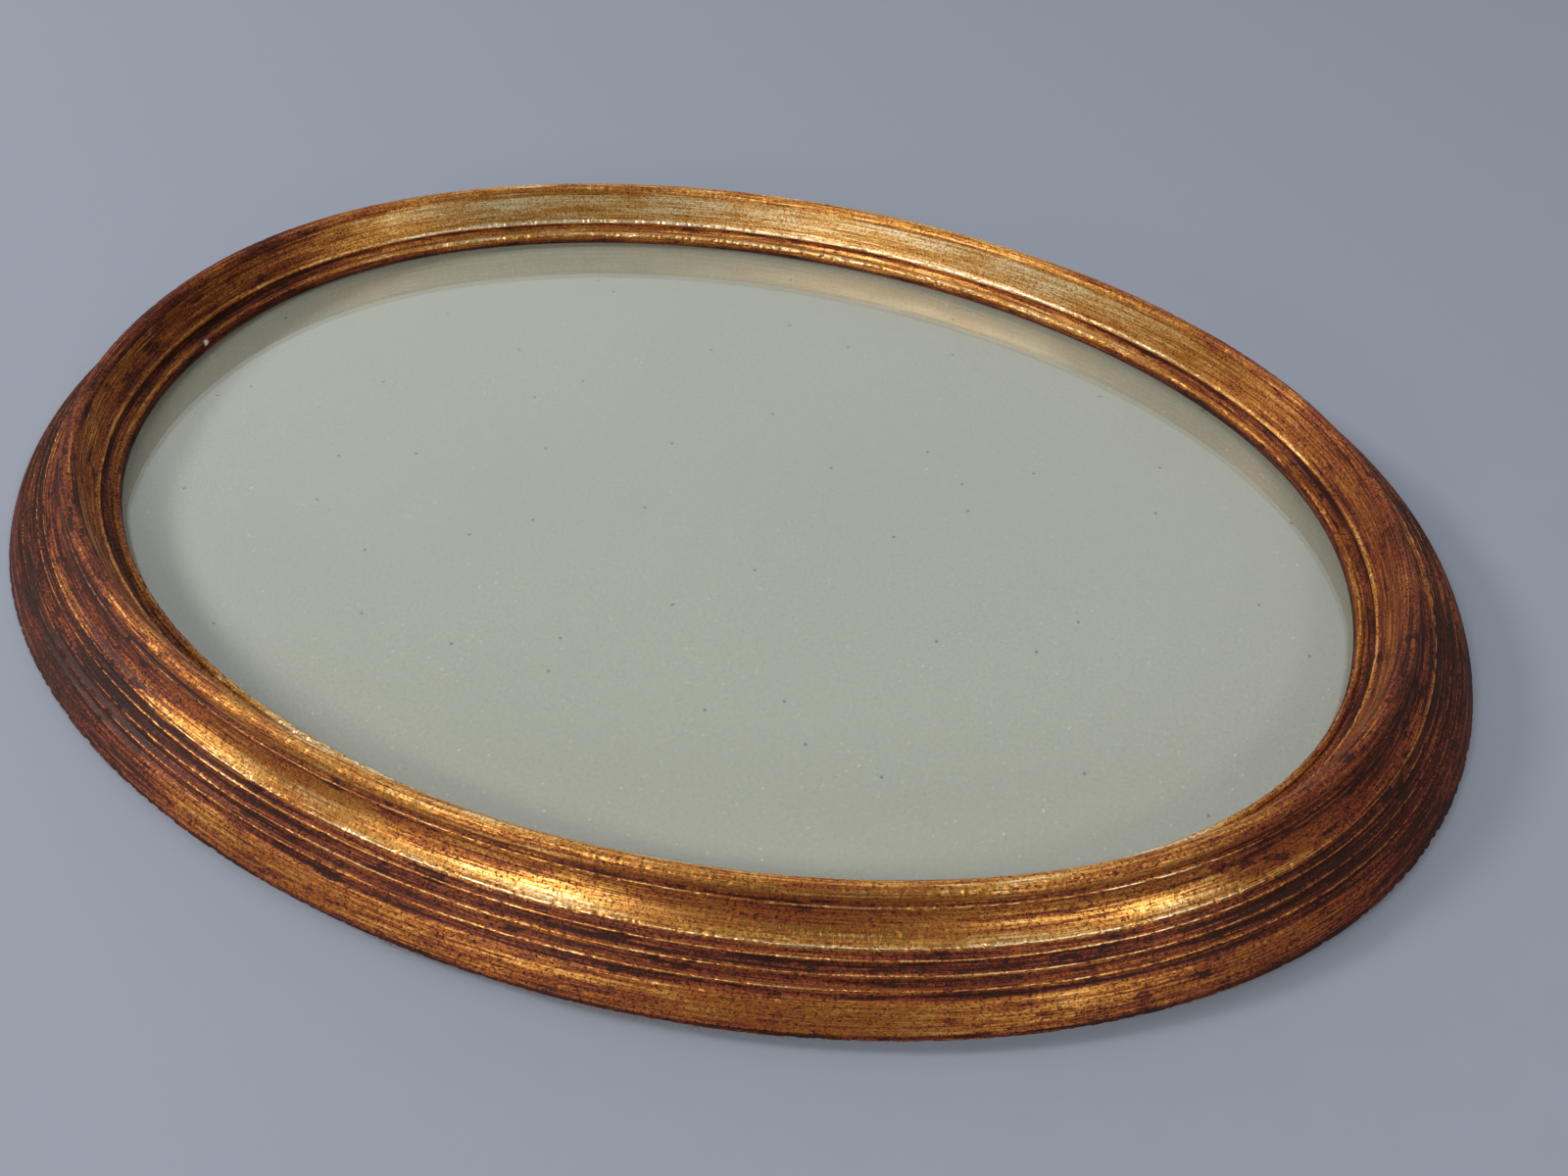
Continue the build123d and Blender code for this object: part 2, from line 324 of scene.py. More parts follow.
class MouldingSettings(bpy.types.PropertyGroup):
    """The moulding's mesh and the marks of its making and wear."""

    steps_per_quarter: IntProperty(
        name="Steps per quarter", description="Sections in a quarter of the oval", default=700, min=16)
    arc_step: FloatProperty(
        name="Arc step", description="Longest step along the section", default=0.00045, unit="LENGTH")
    arris_radius: FloatProperty(
        name="Arris radius", description="Rounding of the section's corners", default=0.00013, unit="LENGTH")
    handwork: FloatProperty(
        name="Handwork", description="Depth of the slow waves left by the scraper",
        default=0.00012, unit="LENGTH")
    handwork_size: FloatProperty(
        name="Handwork size", description="Length of the scraper's waves", default=0.018, unit="LENGTH")
    chip_depth: FloatProperty(
        name="Chip depth", description="Depth of the chips in the arrises", default=0.00042, unit="LENGTH")
    chip_size: FloatProperty(
        name="Chip size", description="Size of the chips", default=0.0021, unit="LENGTH")
    gesso_relief: FloatProperty(
        name="Gesso relief", description="Depth of the brushed gesso's unevenness",
        default=0.00004, unit="LENGTH")
    gesso_grain: FloatProperty(
        name="Gesso grain", description="Size of the brushed gesso's unevenness",
        default=0.0009, unit="LENGTH")


class GildingSettings(bpy.types.PropertyGroup):
    """The colours of the gilding and of what shows through it."""

    leaf: FloatVectorProperty(
        name="Leaf", description="Clean gold leaf", subtype="COLOR", size=4, default=(0.78, 0.390, 0.085, 1))
    # Partly a painted highlight: rubbed leaf made paler than gold, so that the brightest leaf reads as a
    # whitened highlight
    bright_leaf_and_highlight: FloatVectorProperty(
        name="Bright leaf", description="Leaf rubbed bright",
        subtype="COLOR", size=4, default=(1.00, 0.84, 0.54, 1))
    toned_leaf: FloatVectorProperty(
        name="Toned leaf", description="Leaf under old toning",
        subtype="COLOR", size=4, default=(0.34, 0.102, 0.018, 1))
    bole: FloatVectorProperty(
        name="Bole", description="Red clay under the leaf",
        subtype="COLOR", size=4, default=(0.175, 0.034, 0.016, 1))
    # Also the colour of the painted shade line along the foot
    dirt_and_foot_shade: FloatVectorProperty(
        name="Dirt", description="Dark toning in the hollows",
        subtype="COLOR", size=4, default=(0.032, 0.010, 0.005, 1))
    gesso: FloatVectorProperty(
        name="Gesso", description="White ground where it is bare",
        subtype="COLOR", size=4, default=(0.74, 0.70, 0.62, 1))
    bare_wood: FloatVectorProperty(
        name="Bare wood", description="Back of the moulding",
        subtype="COLOR", size=4, default=(0.36, 0.22, 0.11, 1))
    leaf_roughness: FloatProperty(
        name="Leaf roughness", description="Roughness of rubbed leaf",
        default=0.40, min=0, max=1, subtype="FACTOR")
    dull_gloss: FloatProperty(
        name="Dull gloss", description="Gloss of the dirt and the bole", default=0.12, min=0, max=1,
        subtype="FACTOR")
    varnish: FloatProperty(
        name="Varnish", description="Weight of the clear coat", default=0.05, min=0, max=1, subtype="FACTOR")
    varnish_roughness: FloatProperty(
        name="Varnish roughness", description="Roughness of the clear coat", default=0.32, min=0, max=1,
        subtype="FACTOR")
    brushing: FloatProperty(
        name="Brushing", description="How far the brush marks draw a highlight out across the moulding",
        default=0.85, min=0, max=1, subtype="FACTOR")


class PaneSettings(bpy.types.PropertyGroup):
    """The glass, the card behind it, and what backs and holds them."""

    card: FloatVectorProperty(
        name="Card", description="Face of the card",
        subtype="COLOR", size=4, default=(0.315, 0.302, 0.242, 1))
    card_fibre: FloatVectorProperty(
        name="Card fibre", description="Dark fibres in the card",
        subtype="COLOR", size=4, default=(0.16, 0.15, 0.12, 1))
    card_fleck: FloatVectorProperty(
        name="Card fleck", description="Pale flecks in the card",
        subtype="COLOR", size=4, default=(0.80, 0.78, 0.70, 1))
    card_speck: FloatVectorProperty(
        name="Card speck", description="Dark specks on the card",
        subtype="COLOR", size=4, default=(0.07, 0.06, 0.04, 1))
    card_gap: FloatProperty(
        name="Card gap", description="Air between the card and the glass", default=0.00003, unit="LENGTH")
    glass: FloatVectorProperty(
        name="Glass", description="Tint of the glass",
        subtype="COLOR", size=4, default=(0.97, 0.985, 0.965, 1))
    board: FloatVectorProperty(
        name="Board", description="Backing board", subtype="COLOR", size=4, default=(0.30, 0.22, 0.13, 1))
    sprigs: FloatVectorProperty(
        name="Sprigs", description="Steel of the sprigs",
        subtype="COLOR", size=4, default=(0.25, 0.22, 0.19, 1))
    tongues: FloatVectorProperty(
        name="Tongues", description="Wood of the tongues",
        subtype="COLOR", size=4, default=(0.42, 0.26, 0.13, 1))


class PaperSettings(bpy.types.PropertyGroup):
    """The kraft paper on the back and its torn edge."""

    kraft: FloatVectorProperty(
        name="Kraft", description="Colour of the paper",
        subtype="COLOR", size=4, default=(0.24, 0.155, 0.10, 1))
    torn_depth: FloatProperty(
        name="Torn depth", description="How far the edge is torn back", default=0.0008, unit="LENGTH")
    torn_size: FloatProperty(
        name="Torn size", description="Size of the tears in the edge", default=0.004, unit="LENGTH")
    fibres: IntProperty(name="Fibres", description="Number of loose fibres", default=900, min=0)
    fibre_length: FloatProperty(
        name="Fibre length", description="Length of the longest fibre", default=0.0016, unit="LENGTH")
    fibre_thick: FloatProperty(
        name="Fibre thickness", description="Thickness of a fibre", default=0.00005, unit="LENGTH")
    seed: IntProperty(name="Seed", description="Choice of the fibres' places", default=7, min=0)


class HangerSettings(bpy.types.PropertyGroup):
    """The ring, the strap and the screw."""

    brass: FloatVectorProperty(
        name="Brass", description="Colour of the old brass",
        subtype="COLOR", size=4, default=(0.46, 0.30, 0.10, 1))


class StageSettings(bpy.types.PropertyGroup):
    """Camera, floor and lights."""

    camera_place: FloatVectorProperty(
        name="Camera", description="Where the camera stands", size=3, unit="LENGTH",
        default=(0.0915, -0.2377, 0.2522))
    heading: FloatProperty(
        name="Heading", description="Turn of the view to the left of +Y",
        default=radians(16.49), unit="ROTATION")
    tilt: FloatProperty(
        name="Tilt", description="Turn of the view below level", default=radians(48.58), unit="ROTATION")
    roll: FloatProperty(
        name="Roll", description="Turn of the camera about its view", default=radians(1.17), unit="ROTATION")
    lens: FloatProperty(
        name="Lens", description="Focal length in millimetres", default=28.25, min=1, unit="CAMERA")
    floor_drop: FloatProperty(
        name="Floor drop", description="Gap under the middle of the frame", default=0.0016, unit="LENGTH")
    floor_slope: FloatProperty(
        name="Floor slope", description="Fall of the floor towards +X",
        default=radians(0.42), unit="ROTATION")
    floor_tilt: FloatProperty(
        name="Floor tilt", description="Fall of the floor towards -Y", default=radians(0.20), unit="ROTATION")
    room_light: FloatProperty(
        name="Room light", description="Radiance of the dim room all round", default=0.06)
    wall_light: FloatProperty(
        name="Wall light", description="Radiance of the bright wall behind", default=1.15)
    daylight: FloatVectorProperty(
        name="Daylight", description="Colour of the room's light",
        subtype="COLOR", size=4, default=(0.86, 0.92, 1, 1))
    floor: FloatVectorProperty(
        name="Floor", description="Colour of the floor",
        subtype="COLOR", size=4, default=(0.25, 0.27, 0.315, 1))


def select_only(piece):
    """Leave one object selected and active."""
    bpy.ops.object.select_all(action="DESELECT")
    piece.select_set(True)
    bpy.context.view_layer.objects.active = piece


def arc_through(start, middle, end):
    """The arc through three points, as a function from 0 at its start to 1 at its end."""
    (ax, ay), (bx, by), (cx, cy) = start, middle, end
    cross = 2 * (ax * (by - cy) + bx * (cy - ay) + cx * (ay - by))
    a2, b2, c2 = ax * ax + ay * ay, bx * bx + by * by, cx * cx + cy * cy
    ux = (a2 * (by - cy) + b2 * (cy - ay) + c2 * (ay - by)) / cross
    uy = (a2 * (cx - bx) + b2 * (ax - cx) + c2 * (bx - ax)) / cross
    radius = ((ax - ux) ** 2 + (ay - uy) ** 2) ** 0.5
    first = atan2(ay - uy, ax - ux)
    turn = (atan2(cy - uy, cx - ux) - first) % (2 * pi)
    if (atan2(by - uy, bx - ux) - first) % (2 * pi) > turn:
        turn -= 2 * pi
    return lambda part: (ux + radius * cos(first + turn * part), uy + radius * sin(first + turn * part))


def line_between(start, end):
    """The straight line between two points, as a function from 0 at its start to 1 at its end."""
    return lambda part: tuple(here + (there - here) * part for here, there in zip(start, end))


def on_section(share):
    """A point of the section, from its shares of the moulding's width and height."""
    return (share[0] * MOULDING_WIDTH, share[1] * MOULDING_HEIGHT)


def face_points(step, hold):
    """The face's points, and the leaf left and its shine at each.

    Steps are at most this long, and each corner has a point at the holding distance on both
    sides, so that the rounding of an arris doesn't reach into the flat beside it.
    """
    shares, (left_first, _), burnish = FACE_STRETCHES[0]
    points, cover, shine = [on_section(shares[0])], [left_first], [burnish]
    for shares, (left_first, left_last), burnish in FACE_STRETCHES:
        corners = [on_section(share) for share in shares]
        length = ARC_EXCESS * (Vector(corners[-1]) - Vector(corners[0])).length
        curve = line_between(*corners) if len(corners) == 2 else arc_through(*corners)
        parts = [0.5]
        if length > 3 * hold:
            count = max(1, ceil((length - 2 * hold) / step))
            parts = [(hold + (length - 2 * hold) * number / count) / length for number in range(count + 1)]
        for part in (*parts, 1):
            points.append(curve(part))
            cover.append(left_first + (left_last - left_first) * part)
            shine.append(burnish)
    return points, cover, shine


def draw_section(settings):
    """The moulding's closed section as a curve, drawn from point to point by extruding a vertex."""
    points, _, _ = face_points(settings.arc_step, 2 * settings.arris_radius)
    rabbet_height = GLASS_TOP - WOOD_BACK
    points += [
        (LIP_INSET_SHARE * MOULDING_WIDTH, rabbet_height),
        (RABBET_INSET, rabbet_height),
        (RABBET_INSET, 0),
        (FOOT_EASE, 0),
        points[0],
    ]
    bpy.ops.object.select_all(action="DESELECT")
    bpy.ops.mesh.primitive_plane_add(size=MOULDING_WIDTH, location=(0, 0, 0))
    section = bpy.context.object
    section.name = "section"
    bpy.ops.object.mode_set(mode="EDIT")
    bpy.ops.mesh.merge(type="CENTER")
    bpy.ops.transform.translate(value=(*points[0], 0))
    for here, there in zip(points, points[1:]):
        step = (there[0] - here[0], there[1] - here[1], 0)
        bpy.ops.mesh.extrude_region_move(TRANSFORM_OT_translate={"value": step})
    bpy.ops.mesh.select_all(action="SELECT")
    bpy.ops.mesh.remove_doubles(threshold=MERGE_GAP)
    bpy.ops.mesh.select_all(action="DESELECT")
    bpy.ops.object.mode_set(mode="OBJECT")
    corners = np.array([share for shares, _, _ in FACE_STRETCHES for share in (shares[0], shares[-1])])
    corners = corners * (MOULDING_WIDTH, MOULDING_HEIGHT)
    for point in section.data.vertices:
        gaps = np.linalg.norm(corners - np.array(point.co[:2]), axis=1)
        point.select = bool(gaps.min() < CORNER_GAP)
    bpy.ops.object.mode_set(mode="EDIT")
    bpy.ops.mesh.bevel(affect="VERTICES", offset=settings.arris_radius, segments=2, clamp_overlap=True)
    bpy.ops.object.mode_set(mode="OBJECT")
    bpy.ops.object.convert(target="CURVE")
    section.data.dimensions = "2D"
    return section


def section_place(section):
    """The drawn section's points, the length of the way round to each, and each one's leaf and shine."""
    points = np.array([tuple(point.co)[:2] for point in section.data.splines[0].points])
    girth = np.concatenate([[0], np.cumsum(np.linalg.norm(np.diff(points, axis=0), axis=1))])
    face, cover, burnish = face_points(FACE_PROBE, FACE_PROBE)
    gaps = np.linalg.norm(points[:, None, :] - np.array(face)[None, :, :], axis=2)
    left = np.array(cover)[gaps.argmin(axis=1)]
    left[gaps.min(axis=1) > 2 * FACE_PROBE] = 0
    return points, girth, left, np.array(burnish)[gaps.argmin(axis=1)]


def corner_weight(points, reach):
    """How far the section turns outwards near each point: 0 where it is flat, 1 at an arris."""
    ahead = np.roll(points, -1, axis=0) - points
    behind = points - np.roll(points, 1, axis=0)
    turn = np.arctan2(
        behind[:, 0] * ahead[:, 1] - behind[:, 1] * ahead[:, 0], (behind * ahead).sum(axis=1))
    area = 0.5 * np.sum(points[:, 0] * np.roll(points[:, 1], -1) - np.roll(points[:, 0], -1) * points[:, 1])
    gaps = np.linalg.norm(points[:, None, :] - points[None, :, :], axis=2)
    total = (np.exp(-(gaps / reach) ** 2) * (turn * np.sign(area))[None, :]).sum(axis=1)
    return np.interp(total, np.radians(ARRIS_TURNS), (0, 1))


def sweep_round_oval(section, settings, name):
    """The section carried round the oval as one closed mesh."""
    bpy.ops.object.select_all(action="DESELECT")
    bpy.ops.curve.primitive_bezier_circle_add(radius=1, location=(0, 0, WOOD_BACK))
    ring = bpy.context.object
    ring.name = name
    bpy.ops.object.mode_set(mode="EDIT")
    bpy.ops.transform.resize(value=(HALF_LENGTH, HALF_WIDTH, 1))
    bpy.ops.object.mode_set(mode="OBJECT")
    steps = settings.steps_per_quarter
    ring.data.twist_mode = "Z_UP"
    ring.data.bevel_mode = "OBJECT"
    ring.data.bevel_object = section
    ring.data.resolution_u = steps
    bpy.ops.object.convert(target="MESH")
    bpy.ops.object.transform_apply(location=True, rotation=True, scale=True)
    return bpy.context.object


def outer_edge(ring, count):
    """The outermost point of each section round the oval."""
    places = np.empty(len(ring.data.vertices) * 3, np.float32)
    ring.data.vertices.foreach_get("co", places)
    return places.reshape(-1, count, 3)[:, 0, :2].astype(float)


def angles_round(outer):
    """The angle round the oval, in degrees, of each point on its outer edge."""
    return np.degrees(np.arctan2(outer[:, 1] / HALF_WIDTH, outer[:, 0] / HALF_LENGTH))


def write_attribute(ring, name, kind, values):
    """Give each point of the ring its own value."""
    field = "vector" if kind == "FLOAT_VECTOR" else "value"
    written = ring.data.attributes.new(name, kind, "POINT").data
    written.foreach_set(field, values.astype(np.float32).ravel())


def write_leaf_place(ring, girth):
    """Give each point its place on the unrolled face, joined end to end, and the way round there."""
    outer = outer_edge(ring, len(girth))
    steps = np.linalg.norm(np.roll(outer, -1, axis=0) - outer, axis=1)
    along = np.concatenate([[0], np.cumsum(steps)[:-1]])
    around = along / steps.sum() * 2 * pi
    radius = steps.sum() / (2 * pi)
    place = np.empty((len(outer), len(girth), 3))
    place[:, :, 0] = (radius * np.cos(around))[:, None]
    place[:, :, 1] = (radius * np.sin(around))[:, None]
    place[:, :, 2] = girth[None, :]
    write_attribute(ring, "leaf_place", "FLOAT_VECTOR", place)
    tangent = np.roll(outer, -1, axis=0) - np.roll(outer, 1, axis=0)
    tangent /= np.linalg.norm(tangent, axis=1)[:, None]
    along_run = np.zeros((len(outer), len(girth), 3))
    along_run[:, :, :2] = tangent[:, None, :]
    write_attribute(ring, "leaf_run", "FLOAT_VECTOR", along_run)


def write_leaf_left(ring, points, left, shine):
    """Give each point the leaf left there and its shine, by its place on the section and round the oval, with
    a painted highlight line on the arrises and a painted shade line along the foot.
    """
    outer = outer_edge(ring, len(points))
    worn = np.interp(angles_round(outer) % 360, WORN_ANGLES, WORN_WEIGHTS)
    ends = np.interp(np.abs(outer[:, 0]) / HALF_LENGTH, END_SHARES, (0, 1))
    nearest, farthest, lowest = CREST
    crest = (points[:, 0] > nearest) & (points[:, 0] < farthest) & (points[:, 1] > lowest)
    # Partly leaf rubbed bright on the arrises and partly a painted highlight line along them
    rubbed = corner_weight(points, RUBBED_AND_HIGHLIGHT_REACH) * (left > 0)
    # A painted shade line along the foot, darkest at the very bottom, where the frame meets the floor
    shaded_foot = np.clip(FOOT_SHADE_STEEPNESS * (1 - points.sum(axis=1) / FOOT_SHADE_REACH), 0, 1)
    loss = (WORN_LOSS + RICH_LOSS * np.clip(left - RICH_COVER, 0, 1)) * (1 - CREST_SHELTER * crest)
    cover = left + RUBBED_AND_HIGHLIGHT_GAIN * rubbed - FOOT_SHADE_LOSS * shaded_foot
    cover = cover - CREST_LOSS * np.outer(ends, crest) - np.outer(worn, loss)
    cover = np.where(left > 0, np.maximum(cover, LEAST_COVER), 0)
    write_attribute(ring, "leaf_cover", "FLOAT", cover)
    write_attribute(ring, "leaf_shine", "FLOAT", shine * (1 - WORN_DULLING * worn[:, None]))


def weight_group(ring, name, weights):
    """A vertex group that has one weight for each point of the section, all round the oval."""
    group = ring.vertex_groups.new(name=name)
    count = len(weights)
    for place, weight in enumerate(weights):
        if weight > LEAST_WEIGHT:
            group.add(list(range(place, len(ring.data.vertices), count)), float(weight), "REPLACE")
    return group.name


def press_texture(piece, name, group, depth, size, threshold=None):
    """Press a cloudy texture into the surface, only ever inwards, and apply it."""
    texture = bpy.data.textures.new(name, "CLOUDS")
    texture.noise_scale = size
    texture.noise_depth = 2
    texture.noise_basis = "IMPROVED_PERLIN"
    if threshold is not None:
        texture.use_color_ramp = True
        low, high = texture.color_ramp.elements
        low.position, high.position = threshold
        low.color, high.color = (0, 0, 0, 1), (1, 1, 1, 1)
    press = piece.modifiers.new(name, "DISPLACE")
    press.texture = texture
    press.texture_coords = "LOCAL"
    press.mid_level = 0
    press.strength = -depth
    press.vertex_group = group
    select_only(piece)
    bpy.ops.object.modifier_apply(modifier=press.name)


def faces_of_runs(ring, count):
    """The run of moulding that each face belongs to, told by the section planes it lies between."""
    around = angles_round(outer_edge(ring, count))
    corners = np.empty(len(ring.data.loops), np.int32)
    ring.data.loops.foreach_get("vertex_index", corners)
    planes = corners.reshape(-1, 4) // count
    first = np.where(np.ptp(planes, axis=1) > 1, planes.max(axis=1), planes.min(axis=1))
    second = (first + 1) % len(around)
    turn = (around[second] - around[first] + 180) % 360 - 180
    middle = (around[first] + turn / 2) % 360
    starts = [start for start, _ in MOULDING_RUNS.values()]
    return np.searchsorted(starts, middle, side="right") - 1


def cut_in_runs(ring, count):
    """Part the finished ring where its wooden pieces meet, and close each piece's ends."""
    runs = faces_of_runs(ring, count)
    ring.data.attributes.new("run", "INT", "FACE").data.foreach_set("value", runs.astype(np.int32))
    pieces = {}
    for number, name in enumerate(MOULDING_RUNS):
        piece = ring
        if number < len(MOULDING_RUNS) - 1:
            select_only(ring)
            bpy.ops.object.mode_set(mode="EDIT")
            bpy.ops.mesh.select_mode(type="FACE")
            bpy.ops.mesh.select_all(action="DESELECT")
            bpy.ops.object.mode_set(mode="OBJECT")
            runs = np.empty(len(ring.data.polygons), np.int32)
            ring.data.attributes["run"].data.foreach_get("value", runs)
            ring.data.polygons.foreach_set("select", runs == number)
            bpy.ops.object.mode_set(mode="EDIT")
            bpy.ops.mesh.separate(type="SELECTED")
            bpy.ops.object.mode_set(mode="OBJECT")
            piece = next(other for other in bpy.context.selected_objects if other != ring)
        pieces[name] = piece
    for name, piece in pieces.items():
        piece.name = "gilt_" + name
        close_ends(piece)
    return pieces


def close_ends(piece):
    """Fill the two open ends of a run of moulding."""
    select_only(piece)
    bpy.ops.object.mode_set(mode="EDIT")
    bpy.ops.mesh.select_mode(type="EDGE")
    bpy.ops.mesh.select_all(action="DESELECT")
    bpy.ops.mesh.select_non_manifold()
    bpy.ops.mesh.fill_holes(sides=0)
    bpy.ops.mesh.select_all(action="SELECT")
    bpy.ops.mesh.normals_make_consistent(inside=False)
    bpy.ops.object.mode_set(mode="OBJECT")


def press_out(outline, low, high):
    """Turn a flat outline into a solid that reaches from one height to another."""
    select_only(outline)
    bpy.ops.object.mode_set(mode="EDIT")
    bpy.ops.mesh.select_all(action="SELECT")
    bpy.ops.transform.translate(value=(0, 0, low))
    bpy.ops.mesh.extrude_region_move(TRANSFORM_OT_translate={"value": (0, 0, high - low)})
    bpy.ops.mesh.select_all(action="SELECT")
    bpy.ops.mesh.normals_make_consistent(inside=False)
    bpy.ops.object.mode_set(mode="OBJECT")


def draw_pocket_outline():
    """The rounded rectangle of the hanger's pocket."""
    bpy.ops.object.select_all(action="DESELECT")
    bpy.ops.mesh.primitive_plane_add(size=1)
    bpy.ops.object.mode_set(mode="EDIT")
    bpy.ops.transform.resize(value=(POCKET_WIDTH, POCKET_LENGTH, 1))
    bpy.ops.mesh.bevel(affect="VERTICES", offset=POCKET_CORNER, segments=POCKET_CORNER_SEGMENTS)
    bpy.ops.transform.translate(value=(0, POCKET_Y, 0))
    bpy.ops.object.mode_set(mode="OBJECT")
    return bpy.context.object


def take_away(piece, cutter):
    """Cut a piece by another, which goes, and which lends the cut its material."""
    cut = piece.modifiers.new("cut", "BOOLEAN")
    cut.object = cutter
    cut.operation = "DIFFERENCE"
    cut.solver = "EXACT"
    cut.material_mode = "TRANSFER"
    select_only(piece)
    bpy.ops.object.modifier_apply(modifier=cut.name)
    bpy.data.objects.remove(cutter)


def cut_hanger_pocket(piece, wood):
    """Sink the hanger's pocket and its screw's hole into the back of the top piece."""
    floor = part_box("hanger_strap")[1].z
    pocket = draw_pocket_outline()
    press_out(pocket, WOOD_BACK - CUT_OVERRUN, floor)
    bpy.ops.object.select_all(action="DESELECT")
    bpy.ops.mesh.primitive_circle_add(
        vertices=SCREW_HOLE_POINTS, radius=SCREW_HOLE_RADIUS, fill_type="NGON")
    hole = bpy.context.object
    bpy.ops.object.mode_set(mode="EDIT")
    bpy.ops.transform.translate(value=(0, SCREW_Y, 0))
    bpy.ops.object.mode_set(mode="OBJECT")
    press_out(hole, floor - CUT_OVERRUN / 2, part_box("hanger_screw")[1].z + CUT_OVERRUN / 2)
    for cutter in (pocket, hole):
        cutter.data.materials.append(wood)
        take_away(piece, cutter)


def bare_the_back(piece, wood):
    """Give the faces that were never gilded the bare wood."""
    piece.data.materials.append(wood)
    cover = np.empty(len(piece.data.vertices), np.float32)
    piece.data.attributes["leaf_cover"].data.foreach_get("value", cover)
    bare = [all(cover[point] < LEAST_COVER / 2 for point in face.vertices) for face in piece.data.polygons]
    piece.data.polygons.foreach_set("material_index", np.array(bare, np.int32))


def new_material(name):
    """An empty node material with its output and a Principled shader joined."""
    material = bpy.data.materials.new(name)
    material.use_nodes = True
    tree = material.node_tree
    return material, tree, tree.nodes["Principled BSDF"]


def add_node(tree, kind, settings=None, **values):
    """A node with its settings, and with its inputs set or linked by name or by number."""
    made = tree.nodes.new(kind)
    for key, value in (settings or {}).items():
        setattr(made, key, value)
    for key, value in values.items():
        name = key.replace("_", " ")
        socket = made.inputs[int(key[1:])] if key[0] == "i" and key[1:].isdigit() else made.inputs[name]
        if isinstance(value, bpy.types.NodeSocket):
            tree.links.new(value, socket)
        else:
            socket.default_value = value
    return made


def reckon(tree, operation, first, second=0.0, third=0.0):
    """A Math node's result."""
    made = add_node(tree, "ShaderNodeMath", {"operation": operation}, i0=first, i1=second, i2=third)
    return made.outputs[0]


def mix(tree, factor, first, second, blend="MIX"):
    """A colour mix's result."""
    made = add_node(
        tree, "ShaderNodeMix", {"data_type": "RGBA", "blend_type": blend}, i0=factor, i6=first, i7=second)
    return made.outputs[2]


def span(tree, value, low, high, to_low=0.0, to_high=1.0):
    """A value carried from one range to another, held at its ends."""
    made = add_node(
        tree, "ShaderNodeMapRange", {"clamp": True},
        i0=value, i1=low, i2=high, i3=to_low, i4=to_high)
    return made.outputs[0]


def weighed(tree, values, weights):
    """The sum of the values that have a weight, each times its weight."""
    total = 0.0
    for name, weight in weights.items():
        total = reckon(tree, "MULTIPLY_ADD", values[name], weight, total)
    return total


def stretched(tree, place, along, across):
    """A place in units of a mark's length, on X and Y, and of its width, on Z."""
    return add_node(
        tree, "ShaderNodeMapping", Vector=place, Scale=(1 / along, 1 / along, 1 / across)).outputs[0]


def turned(tree, place, turn, scale):
    """A place scaled and then turned about Z."""
    return add_node(tree, "ShaderNodeMapping", Vector=place, Rotation=(0, 0, turn), Scale=scale).outputs[0]


def noise(tree, place, scale=1.0, detail=3.0, roughness=0.55):
    """A noise texture's value."""
    made = add_node(tree, "ShaderNodeTexNoise", Vector=place, Scale=scale, Detail=detail, Roughness=roughness)
    return made.outputs["Fac"]


def ramp(tree, value, stops):
    """A value turned into a colour that passes through these stops."""
    made = add_node(tree, "ShaderNodeValToRGB", Fac=value)
    row = made.color_ramp.elements
    while len(row) < len(stops):
        row.new(0.5)
    for element, (position, colour) in zip(row, stops):
        element.position = position
        element.color = tuple(colour)
    return made.outputs["Color"]


def attribute(tree, name, output):
    """An attribute's value."""
    return add_node(tree, "ShaderNodeAttribute", {"attribute_name": name}).outputs[output]


def object_place(tree):
    """The place on the object."""
    return add_node(tree, "ShaderNodeTexCoord").outputs["Object"]


def darker(colour, share):
    """A colour brought down to this share of itself."""
    return tuple(value * share for value in colour[:3]) + (1,)


def new_group(name, inputs, outputs):
    """An empty shader node group with named sockets, and what is given to it and wanted of it."""
    tree = bpy.data.node_groups.new(name, "ShaderNodeTree")
    for way, sockets in (("INPUT", inputs), ("OUTPUT", outputs)):
        for label, kind in sockets.items():
            tree.interface.new_socket(name=label, in_out=way, socket_type="NodeSocket" + kind)
    return tree, tree.nodes.new("NodeGroupInput").outputs, tree.nodes.new("NodeGroupOutput").inputs


def build_mottle():
    """The group that clouds a finish between two colours and between two roughnesses."""
    tree, given, wanted = new_group(
        "mottle",
        {"Place": "Vector", "Scale": "Float", "Detail": "Float", "Low": "Float", "High": "Float",
         "Dark": "Color", "Pale": "Color", "Smoothest": "Float", "Roughest": "Float"},
        {"Colour": "Color", "Roughness": "Float", "Height": "Float"})
    clouds = noise(tree, given["Place"], given["Scale"], given["Detail"])
    part = span(tree, clouds, given["Low"], given["High"])
    tree.links.new(mix(tree, part, given["Dark"], given["Pale"]), wanted["Colour"])
    roughness = span(tree, clouds, *ROUGHNESS_CLOUDS, given["Smoothest"], given["Roughest"])
    tree.links.new(roughness, wanted["Roughness"])
    tree.links.new(clouds, wanted["Height"])


def build_fading():
    """The group that lays broad pale and dark clouds over a paper's colour."""
    tree, given, wanted = new_group(
        "fading",
        {"Place": "Vector", "Scale": "Float", "Detail": "Float", "Colour": "Color",
         "Darkest": "Float", "Palest": "Float"},
        {"Colour": "Color"})
    clouds = noise(tree, given["Place"], given["Scale"], given["Detail"])
    shade = span(tree, clouds, *PAPER_CLOUDS, given["Darkest"], given["Palest"])
    tree.links.new(mix(tree, 1.0, given["Colour"], shade, "MULTIPLY"), wanted["Colour"])


EFFECTS = {"mottle": build_mottle, "fading": build_fading}


